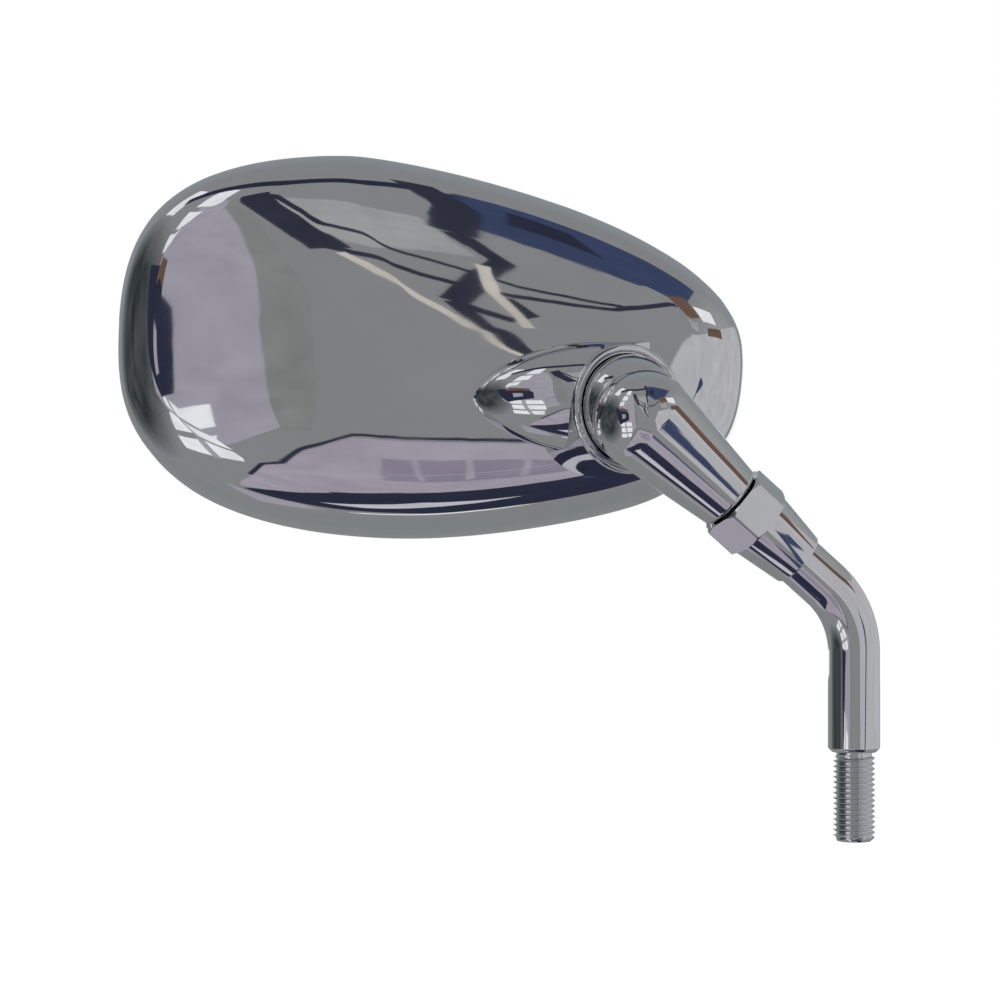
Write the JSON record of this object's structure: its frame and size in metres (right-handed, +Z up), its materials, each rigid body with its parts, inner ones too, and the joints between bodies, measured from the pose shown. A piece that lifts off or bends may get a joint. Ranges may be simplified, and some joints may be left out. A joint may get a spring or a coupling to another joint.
{
  "type": "motorcycle mirror",
  "caption": "Chromed teardrop motorcycle mirror on a sprung ball joint, with a cast elbow arm, a lock nut and a bent threaded stem.",
  "frame": {"origin": "centre of the shoulder where the threaded stud leaves the lower stem", "axes": "+Z up along the stud towards the bend, +X from the head back over the stem, +Y towards the rider, the side of the glass"},
  "size_m": [0.1854, 0.0619, 0.1671],
  "materials": {
    "stem_chrome": "polished chrome plate on steel",
    "arm_chrome": "polished chrome plate on cast metal",
    "shell_chrome": "polished chrome plate on a cast shell",
    "zinc_steel": "zinc plated steel",
    "spring_steel": "dark spring steel",
    "nylon": "natural nylon",
    "insert_nylon": "blue nylon",
    "carrier_black": "moulded black plastic",
    "foam_pad": "double sided foam",
    "gasket_rubber": "moulded black rubber",
    "mirror_glass": "silvered convex glass"
  },
  "bodies": {
    "stem": {"lower_stem": "stem_chrome"},
    "nut": {"lock_nut": "stem_chrome"},
    "arm": {"arm": "arm_chrome", "ball_stud": "zinc_steel", "joint_spring": "spring_steel", "flat_washer": "zinc_steel", "joint_nut": "zinc_steel", "nut_insert": "insert_nylon"},
    "washer": {"pressure_washer": "zinc_steel"},
    "ring": {"friction_ring": "nylon"},
    "head": {"housing_shell": "shell_chrome", "glass_carrier": "carrier_black", "carrier_screws": "zinc_steel", "adhesive_pad": "foam_pad", "mirror_glass": "mirror_glass", "glass_gasket": "gasket_rubber"}
  },
  "joints": [
    {"name": "lock_nut_turn", "type": "hinge", "parent": "stem", "child": "nut", "pos_m": [0, 0, 0.0334], "axis": [0.7364, 0.2112, -0.6428], "range_deg": [0, 360]},
    {"name": "arm_swivel", "type": "hinge", "parent": "stem", "child": "arm", "pos_m": [0, 0, 0.0334], "axis": [-0.7364, -0.2112, 0.6428], "range_deg": [-90, 90]},
    {"name": "head_roll", "type": "hinge", "parent": "arm", "child": "washer", "pos_m": [-0.05327, -0.00144, 0.08107], "axis": [-0.5, 0.866, 0], "range_deg": [-15, 15]},
    {"name": "head_tilt", "type": "hinge", "parent": "washer", "child": "ring", "pos_m": [-0.05327, -0.00144, 0.08107], "axis": [0.866, 0.5, 0], "range_deg": [-9, 9]},
    {"name": "head_pan", "type": "hinge", "parent": "ring", "child": "head", "pos_m": [-0.05327, -0.00144, 0.08107], "axis": [0, 0, 1], "range_deg": [-9, 9]}
  ]
}
